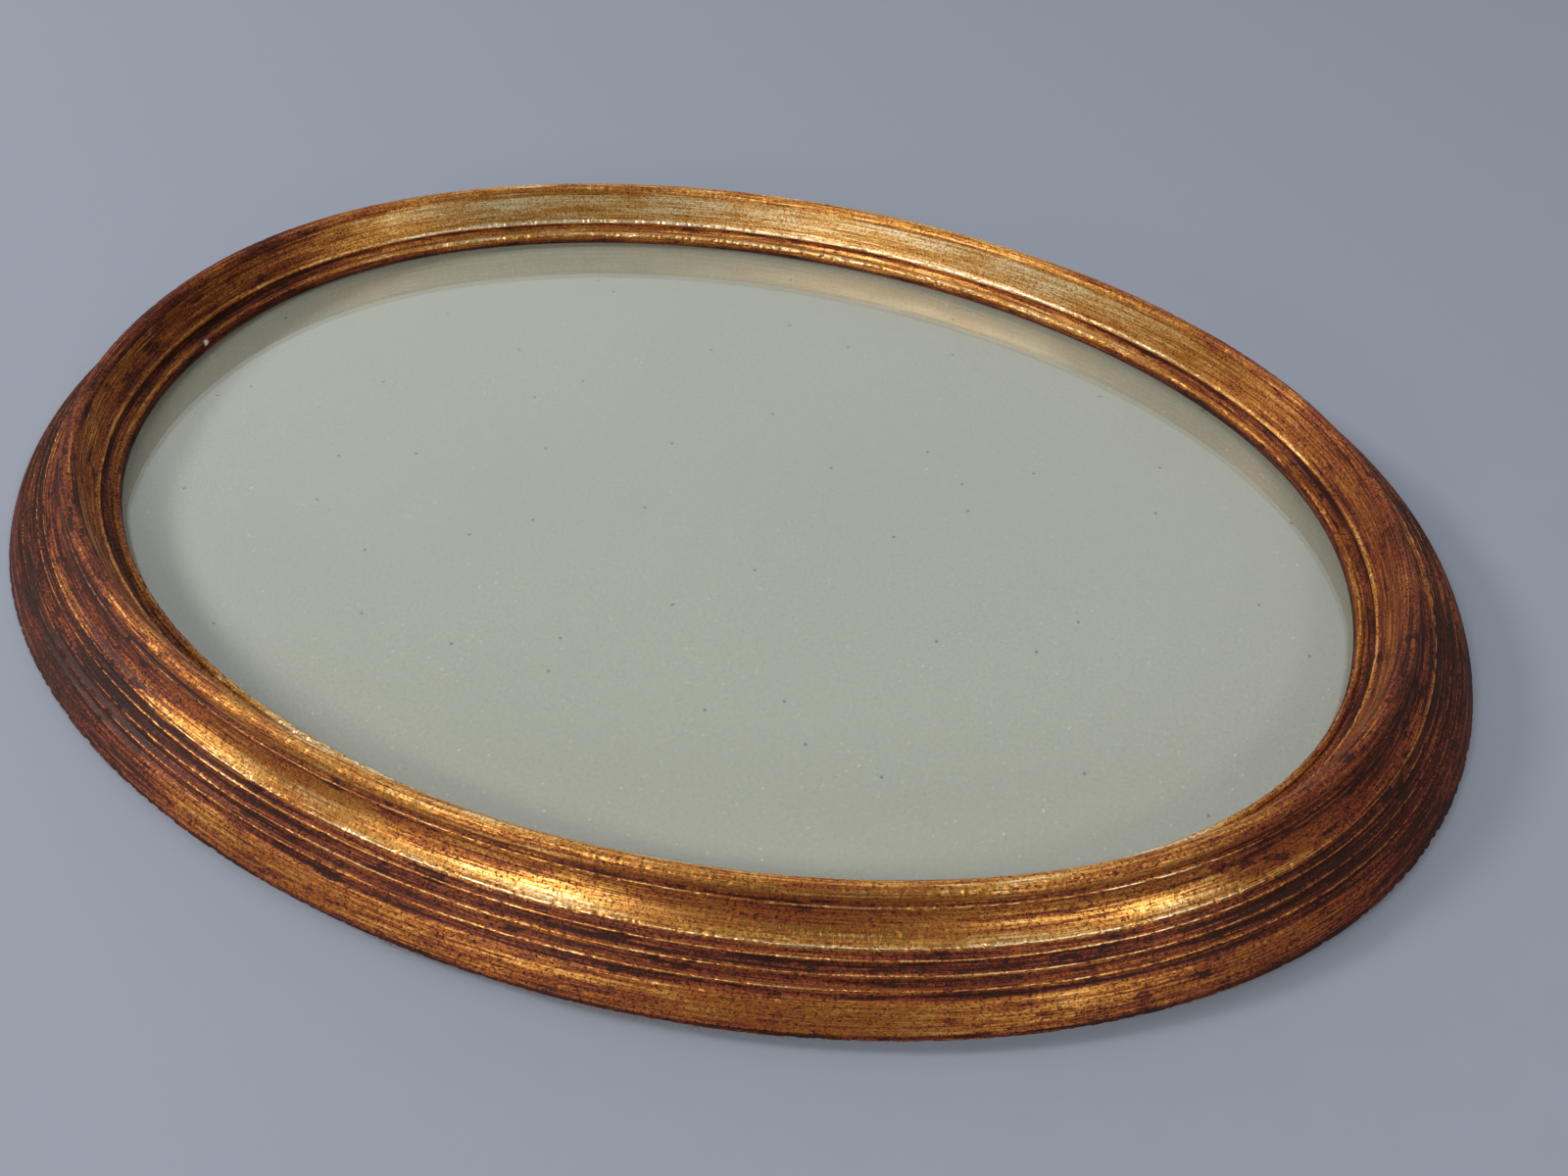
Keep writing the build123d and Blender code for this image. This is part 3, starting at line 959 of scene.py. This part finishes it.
def effect(tree, name, **values):
    """A node group placed in a material with its own values, and built before its first use."""
    if name not in bpy.data.node_groups:
        EFFECTS[name]()
    return add_node(tree, "ShaderNodeGroup", {"node_tree": bpy.data.node_groups[name]}, **values).outputs


def join_shader(tree, shader, **values):
    """Link a value to each of these sockets of the shader."""
    for name, value in values.items():
        tree.links.new(value, shader.inputs[name.replace("_", " ")])


def raise_relief(tree, height, strength, depth):
    """The normal of a surface with this relief."""
    bump = add_node(tree, "ShaderNodeBump", Strength=strength, Distance=depth, Height=height)
    return bump.outputs["Normal"]


def gilding_marks(tree, cover):
    """The marks in the gilding, each a value over the surface, by name."""
    place = attribute(tree, "leaf_place", "Vector")
    marks = {}
    for name, (length, width, detail, roughness) in GILDING_MARKS.items():
        marks[name] = noise(tree, stretched(tree, place, length, width), 1.0, detail, roughness)
    aside = reckon(tree, "ABSOLUTE", reckon(tree, "SUBTRACT", marks["combing"], 0.5))
    marks["cracks"] = span(tree, aside, 0.0, CRACK_REACH, 1.0, 0.0)
    marks["spots"] = span(tree, marks["grain"], *SPOT_EDGE)
    thin = span(tree, cover, *PATCH_COVER)
    marks["patches"] = reckon(tree, "MULTIPLY", span(tree, marks["patches"], *PATCH_EDGE), thin)
    return marks


def gesso_chip(tree, specks):
    """1 on the ragged chip of bare gesso and 0 elsewhere."""
    away = add_node(
        tree, "ShaderNodeVectorMath", {"operation": "DISTANCE"}, i0=object_place(tree), i1=CHIP_PLACE)
    ragged = reckon(tree, "MULTIPLY_ADD", specks, CHIP_RAGGEDNESS * CHIP_REACH, away.outputs["Value"])
    start, end = (reaches * CHIP_REACH for reaches in CHIP_EDGE)
    return span(tree, ragged, start, end, 1.0, 0.0)


def make_gilding(settings):
    """Gold leaf over red bole, rubbed bright and painted with a highlight line on the arrises, toned dark in
    the hollows, and painted with a shade line along the foot.
    """
    material, tree, shader = new_material("worn_gilding")
    # The leaf left, which also carries the painted highlight lines on the arrises and the painted shade line
    # along the foot
    cover = attribute(tree, "leaf_cover", "Fac")
    marks = gilding_marks(tree, cover)
    change = reckon(tree, "SUBTRACT", weighed(tree, marks, LEAF_WEIGHTS), LEAF_BALANCE)
    left = reckon(tree, "ADD", cover, change)
    chip = gesso_chip(tree, marks["specks"])
    colour = ramp(tree, left, [(place, getattr(settings, name)) for name, place in LEAF_COLOURS.items()])
    colour = mix(tree, 1.0, colour, span(tree, marks["grain"], *GRAIN_SHADE), "MULTIPLY")
    colour = mix(tree, chip, colour, tuple(settings.gesso))
    unchipped = reckon(tree, "SUBTRACT", 1.0, chip)
    marks["leaf"] = reckon(tree, "MULTIPLY", span(tree, left, *METAL_EDGE), unchipped)
    marks["shine"] = attribute(tree, "leaf_shine", "Fac")
    roughness = reckon(
        tree, "ADD", weighed(tree, marks, ROUGHNESS_WEIGHTS), settings.leaf_roughness + ROUGHNESS_GAIN)
    join_shader(
        tree, shader, Base_Color=colour, Metallic=span(tree, marks["leaf"], 0.0, 1.0, *METAL_RANGE),
        Roughness=roughness, Tangent=attribute(tree, "leaf_run", "Vector"),
        Normal=raise_relief(tree, weighed(tree, marks, RELIEF_WEIGHTS), RELIEF_STRENGTH, RELIEF_DEPTH))
    shader.inputs["Coat Weight"].default_value = settings.varnish
    shader.inputs["Coat Roughness"].default_value = settings.varnish_roughness
    shader.inputs["Specular IOR Level"].default_value = settings.dull_gloss
    shader.inputs["Anisotropic"].default_value = settings.brushing
    shader.inputs["Anisotropic Rotation"].default_value = ACROSS_THE_RUN
    return material


def make_plain(name, colour, roughness, metallic=0.0, flecks=0.08, size=0.002):
    """A plain finish with cloudy variation of its colour and its roughness, and a little relief."""
    material, tree, shader = new_material(name)
    low, high = COLOUR_CLOUDS
    clouds = effect(
        tree, "mottle", Place=object_place(tree), Scale=1 / size, Detail=5, Low=low, High=high,
        Dark=darker(colour, 1 - 2 * flecks), Pale=tuple(colour),
        Smoothest=roughness - ROUGHNESS_STRAY, Roughest=roughness + ROUGHNESS_STRAY)
    join_shader(
        tree, shader, Base_Color=clouds["Colour"], Roughness=clouds["Roughness"],
        Normal=raise_relief(tree, clouds["Height"], PLAIN_RELIEF, GRAIN_DEPTH))
    shader.inputs["Metallic"].default_value = metallic
    return material


def make_card(settings):
    """Blank card with short dark fibres, pale flecks, a few dark specks and a faint mottle."""
    material, tree, shader = new_material("card_face")
    place = object_place(tree)
    low, high = PAPER_CLOUDS
    colour = effect(
        tree, "mottle", Place=place, Scale=CARD_MOTTLE, Detail=4, Low=low, High=high,
        Dark=darker(settings.card, CARD_DARKER), Pale=tuple(settings.card))["Colour"]
    fibres = noise(tree, turned(tree, place, CARD_FIBRE_TURN, CARD_FIBRES), detail=1)
    fibres = span(tree, fibres, *CARD_FIBRE_EDGE, 0.0, CARD_FIBRE_STRENGTH)
    colour = mix(tree, fibres, colour, tuple(settings.card_fibre))
    flecks = noise(tree, stretched(tree, place, CARD_FLECK_SIZE, 1.0), detail=1)
    flecks = span(tree, flecks, *CARD_FLECK_EDGE, 0.0, CARD_FLECK_STRENGTH)
    colour = mix(tree, flecks, colour, tuple(settings.card_fleck))
    darkest, palest = CARD_CLOUD_SHADES
    colour = effect(
        tree, "fading", Place=place, Scale=CARD_CLOUDS, Detail=2, Colour=colour, Darkest=darkest,
        Palest=palest)["Colour"]
    specks = add_node(
        tree, "ShaderNodeTexVoronoi", {"voronoi_dimensions": "2D"}, Vector=place, Scale=CARD_SPECKS)
    specks = span(tree, specks.outputs["Distance"], *CARD_SPECK_EDGE, CARD_SPECK_STRENGTH, 0.0)
    colour = mix(tree, specks, colour, tuple(settings.card_speck))
    join_shader(tree, shader, Base_Color=colour)
    shader.inputs["Roughness"].default_value = PAPER_ROUGHNESS
    return material


def make_kraft(settings):
    """Brown kraft paper with long fibres."""
    material, tree, shader = new_material("kraft_paper")
    place = object_place(tree)
    low, high = PAPER_CLOUDS
    fibres = effect(
        tree, "mottle", Place=turned(tree, place, KRAFT_FIBRE_TURN, KRAFT_FIBRES), Scale=1.0, Detail=4,
        Low=low, High=high, Dark=darker(settings.kraft, KRAFT_DARKER), Pale=tuple(settings.kraft))
    darkest, palest = KRAFT_CLOUD_SHADES
    colour = effect(
        tree, "fading", Place=place, Scale=KRAFT_CLOUDS, Detail=4, Colour=fibres["Colour"],
        Darkest=darkest, Palest=palest)["Colour"]
    join_shader(
        tree, shader, Base_Color=colour,
        Normal=raise_relief(tree, fibres["Height"], KRAFT_RELIEF, GRAIN_DEPTH))
    shader.inputs["Roughness"].default_value = PAPER_ROUGHNESS
    return material


def bend_fibre(angle, top, longest, pick):
    """The start, the bend and the tip of a loose fibre that stays within the oval's width."""
    start = Vector((
        (HALF_LENGTH - FIBRE_INSET) * cos(angle), (HALF_WIDTH - FIBRE_INSET) * sin(angle),
        top * pick.uniform(*FIBRE_START_SHARES)))
    out = Vector((start.x / HALF_LENGTH ** 2, start.y / HALF_WIDTH ** 2, 0)).normalized()
    side = Vector((-out.y, out.x, 0)) * pick.uniform(-FIBRE_LEAN, FIBRE_LEAN)
    room = FIBRE_ROOM_SHARE * (HALF_WIDTH - abs(start.y)) / max(abs(out.y), FIBRE_LEAST_OUT)
    reach = min(longest * pick.uniform(*FIBRE_LENGTH_SHARES), room)
    bend = start + (out + FIBRE_BEND * side) * reach * FIBRE_BEND_SHARE
    tip = start + (out + side) * reach * FIBRE_TIP_SHARE
    return start, bend, tip


def spread_fibres(settings, top):
    """Loose fibres along the paper's torn edge, as one piece of thin bent threads."""
    bpy.ops.object.select_all(action="DESELECT")
    pick = np.random.default_rng(settings.seed)
    count = settings.fibres
    angles = np.radians(pick.uniform(*FIBRE_RUN, count))
    threads = [bend_fibre(angle, top, settings.fibre_length, pick) for angle in angles]
    bpy.ops.curve.primitive_bezier_curve_add()
    curve = bpy.context.object
    curve.name = "paper_fibres"
    curve.data.splines.clear()
    for thread in threads:
        spline = curve.data.splines.new("POLY")
        spline.points.add(len(thread) - 1)
        for point, place in zip(spline.points, thread):
            point.co = (place.x, place.y, max(place.z, FIBRE_LIFT), 1)
    curve.data.bevel_depth = settings.fibre_thick / 2
    curve.data.bevel_resolution = 0
    curve.data.use_fill_caps = True
    bpy.ops.object.convert(target="MESH")
    bpy.ops.object.transform_apply(location=True, rotation=True, scale=True)
    return bpy.context.object


def make_glass(settings):
    """Clear glass, through which lamps light the card."""
    material, tree, shader = new_material("pane_glass")
    shader.inputs["Base Color"].default_value = tuple(settings.glass)
    shader.inputs["Roughness"].default_value = 0.0
    shader.inputs["IOR"].default_value = 1.5
    shader.inputs["Transmission Weight"].default_value = 1.0
    flat = tree.nodes.new("ShaderNodeNewGeometry").outputs["True Normal"]
    tree.links.new(flat, shader.inputs["Normal"])
    path = tree.nodes.new("ShaderNodeLightPath")
    passing = reckon(tree, "MAXIMUM", path.outputs["Is Shadow Ray"], path.outputs["Is Diffuse Ray"])
    clear = add_node(tree, "ShaderNodeBsdfTransparent", Color=tuple(settings.glass))
    either = add_node(
        tree, "ShaderNodeMixShader", i0=passing, i1=shader.outputs["BSDF"], i2=clear.outputs["BSDF"])
    tree.links.new(either.outputs[0], tree.nodes["Material Output"].inputs["Surface"])
    return material


def finish_node(name, material):
    """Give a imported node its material."""
    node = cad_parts[name]
    node.data.materials.clear()
    node.data.materials.append(material)


class FRAME_OT_moulding(bpy.types.Operator):
    """Sweep the moulding round the oval, wear it and part it in its six pieces"""

    bl_idname = "oval_frame.moulding"
    bl_label = "Moulding"

    def execute(self, context):
        settings = context.scene.oval_moulding
        section = draw_section(settings)
        points, girth, left, shine = section_place(section)
        ring = sweep_round_oval(section, settings, "moulding_ring")
        write_leaf_place(ring, girth)
        write_leaf_left(ring, points, left, shine)
        face = weight_group(ring, "face", (left > 0).astype(float))
        arrises = weight_group(ring, "arrises", corner_weight(points, CHIPPED_REACH) * (left > 0))
        press_texture(ring, "handwork", face, settings.handwork, settings.handwork_size)
        press_texture(ring, "chips", arrises, settings.chip_depth, settings.chip_size, CHIP_THRESHOLD)
        press_texture(ring, "gesso", face, settings.gesso_relief, settings.gesso_grain)
        bpy.data.objects.remove(section)
        finish = context.scene.oval_gilding
        gilding = make_gilding(finish)
        wood = make_plain("bare_wood", finish.bare_wood, roughness=0.75)
        for name, piece in cut_in_runs(ring, len(points)).items():
            piece.data.materials.clear()
            piece.data.materials.append(gilding)
            bare_the_back(piece, wood)
            if name == "moulding_top":
                cut_hanger_pocket(piece, wood)
            select_only(piece)
            bpy.ops.object.shade_smooth_by_angle(angle=radians(SHARP_ANGLE))
            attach(piece, "frame")
            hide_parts(name)
        return {"FINISHED"}


def lay_oval(name, half_length, half_width, low, high, points):
    """A flat oval plate between two heights."""
    bpy.ops.object.select_all(action="DESELECT")
    bpy.ops.mesh.primitive_circle_add(vertices=points, radius=1, fill_type="NGON")
    plate = bpy.context.object
    plate.name = name
    bpy.ops.object.mode_set(mode="EDIT")
    bpy.ops.transform.resize(value=(half_length, half_width, 1))
    bpy.ops.object.mode_set(mode="OBJECT")
    press_out(plate, low, high)
    return plate


class FRAME_OT_glazing(bpy.types.Operator):
    """Finish the glass, lay the card and finish the board and what holds them"""

    bl_idname = "oval_frame.glazing"
    bl_label = "Glazing"

    def execute(self, context):
        settings = context.scene.oval_pane
        finish_node("glass", make_glass(settings))
        low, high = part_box("card")
        card = lay_oval("blank_card", high.x, high.y, low.z, high.z - settings.card_gap, CARD_POINTS)
        card.data.materials.append(make_card(settings))
        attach(card, "frame")
        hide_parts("card")
        finish_node("backing_board", make_plain("pulp_board", settings.board, roughness=0.85))
        finish_node("glazing_sprigs", make_plain("cut_steel", settings.sprigs, roughness=0.45, metallic=1.0))
        finish_node("joint_tongues", make_plain("tongue_wood", settings.tongues, roughness=0.7))
        return {"FINISHED"}


class FRAME_OT_paper(bpy.types.Operator):
    """Paste the torn kraft paper over the back, with its loose fibres"""

    bl_idname = "oval_frame.paper"
    bl_label = "Paper"

    def execute(self, context):
        settings = context.scene.oval_paper
        low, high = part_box("dust_cover")
        paper = lay_oval("torn_kraft_paper", high.x, high.y, low.z, high.z, PAPER_POINTS)
        torn = paper.vertex_groups.new(name="torn")
        torn.add(list(range(len(paper.data.vertices))), 1, "REPLACE")
        press_texture(paper, "torn_edge", torn.name, settings.torn_depth, settings.torn_size)
        for point in paper.data.vertices:
            point.co.z = low.z if point.co.z < (low.z + high.z) / 2 else high.z
        kraft = make_kraft(settings)
        paper.data.materials.append(kraft)
        window = draw_pocket_outline()
        press_out(window, low.z - CUT_OVERRUN, high.z + CUT_OVERRUN)
        window.data.materials.append(kraft)
        take_away(paper, window)
        fibres = spread_fibres(settings, high.z)
        fibres.data.materials.append(kraft)
        for piece in (paper, fibres):
            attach(piece, "frame")
        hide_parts("dust_cover")
        return {"FINISHED"}


class FRAME_OT_hanger(bpy.types.Operator):
    """Finish the ring, the strap and the screw"""

    bl_idname = "oval_frame.hanger"
    bl_label = "Hanger"

    def execute(self, context):
        brass = make_plain("old_brass", context.scene.oval_hanger.brass, roughness=0.38, metallic=1.0)
        for name in ("hanger_ring", "hanger_strap", "hanger_screw"):
            finish_node(name, brass)
        return {"FINISHED"}


def aim(place, target):
    """The matrix of a lamp at a place, looking at a target."""
    away = (Vector(place) - Vector(target)).normalized()
    turn = away.to_track_quat("Z", "Y").to_matrix().to_4x4()
    return Matrix.Translation(place) @ turn


def direction(bearing, height):
    """The unit vector towards a bearing and a height."""
    return Vector((cos(height) * cos(bearing), cos(height) * sin(bearing), sin(height)))


def light_room(settings):
    """Even dim light from all round, and the soft bright wall that the glass mirrors."""
    world = bpy.data.worlds.new("room")
    world.use_nodes = True
    tree = world.node_tree
    bearing, height, full, end = (radians(value) for value in BRIGHT_WALL)
    looking = add_node(tree, "ShaderNodeTexCoord").outputs["Generated"]
    nearness = add_node(
        tree, "ShaderNodeVectorMath", {"operation": "DOT_PRODUCT"}, i0=looking, i1=direction(bearing, height))
    wall = span(
        tree, nearness.outputs["Value"], cos(end), cos(full), settings.room_light, settings.wall_light)
    background = tree.nodes["Background"]
    background.inputs["Color"].default_value = tuple(settings.daylight)
    tree.links.new(wall, background.inputs["Strength"])
    return world


def add_lamp(name, bearing, height, width, tallness, glow):
    """A soft lamp of this angular width, tallness and radiance, looking at the middle of the frame."""
    data = bpy.data.lights.new(name, "AREA")
    data.shape = "ELLIPSE"
    data.size = 2 * LAMP_DISTANCE * tan(width / 2)
    data.size_y = 2 * LAMP_DISTANCE * tan(tallness / 2)
    data.energy = glow * pi * pi * data.size * data.size_y / 4
    lamp = bpy.data.objects.new(name, data)
    bpy.context.scene.collection.objects.link(lamp)
    lamp.matrix_world = aim(LAMP_DISTANCE * direction(bearing, height), (0, 0, 0))
    return lamp


class FRAME_OT_stage(bpy.types.Operator):
    """Set the camera, the floor and the lights"""

    bl_idname = "oval_frame.stage"
    bl_label = "Stage"

    def execute(self, context):
        settings = context.scene.oval_stage
        heading, tilt, roll = settings.heading, settings.tilt, settings.roll
        view = Vector((-sin(heading) * cos(tilt), cos(heading) * cos(tilt), -sin(tilt)))
        right = Vector((cos(heading), sin(heading), 0))
        up = right.cross(view)
        turned_right = cos(roll) * right + sin(roll) * up
        turned_up = cos(roll) * up - sin(roll) * right
        camera = bpy.data.objects.new("camera", bpy.data.cameras.new("camera"))
        context.scene.collection.objects.link(camera)
        turn = Matrix((turned_right, turned_up, -view)).transposed().to_4x4()
        camera.matrix_world = Matrix.Translation(settings.camera_place) @ turn
        camera.data.sensor_width = SENSOR_WIDTH
        camera.data.lens = settings.lens
        camera.data.clip_start = VIEW_START
        context.scene.camera = camera

        bpy.ops.object.select_all(action="DESELECT")
        bpy.ops.mesh.primitive_plane_add(
            size=FLOOR_SIZE, location=(0, 0, -settings.floor_drop),
            rotation=(settings.floor_tilt, settings.floor_slope, 0))
        floor = context.object
        floor.name = "floor"
        bpy.ops.object.transform_apply(location=True, rotation=True)
        board = make_plain("floor_board", settings.floor, roughness=0.75, flecks=0.01, size=0.01)
        floor.data.materials.append(board)

        context.scene.world = light_room(settings)
        for name, bearing, height, width, tallness, glow in LAMPS:
            add_lamp(name, radians(bearing), radians(height), radians(width), radians(tallness), glow)
        context.scene.view_settings.view_transform = "Standard"
        return {"FINISHED"}


class FRAME_PT_panel(bpy.types.Panel):
    """The frame's steps, in order"""

    bl_label = "Oval Frame"
    bl_space_type = "VIEW_3D"
    bl_region_type = "UI"
    bl_category = "Oval Frame"

    def draw(self, context):
        for step in STEPS:
            self.layout.operator(step.bl_idname)


SETTINGS = {
    "oval_moulding": MouldingSettings,
    "oval_gilding": GildingSettings,
    "oval_pane": PaneSettings,
    "oval_paper": PaperSettings,
    "oval_hanger": HangerSettings,
    "oval_stage": StageSettings,
}
STEPS = (FRAME_OT_moulding, FRAME_OT_glazing, FRAME_OT_paper, FRAME_OT_hanger, FRAME_OT_stage)


def register():
    for cls in (*SETTINGS.values(), *STEPS, FRAME_PT_panel):
        bpy.utils.register_class(cls)
    for name, cls in SETTINGS.items():
        setattr(bpy.types.Scene, name, PointerProperty(type=cls))


def unregister():
    for name in SETTINGS:
        delattr(bpy.types.Scene, name)
    for cls in reversed((*SETTINGS.values(), *STEPS, FRAME_PT_panel)):
        bpy.utils.unregister_class(cls)


def main():
    register()
    bpy.ops.oval_frame.moulding()
    bpy.ops.oval_frame.glazing()
    bpy.ops.oval_frame.paper()
    bpy.ops.oval_frame.hanger()
    bpy.ops.oval_frame.stage()


if __name__ == "__main__":
    main()
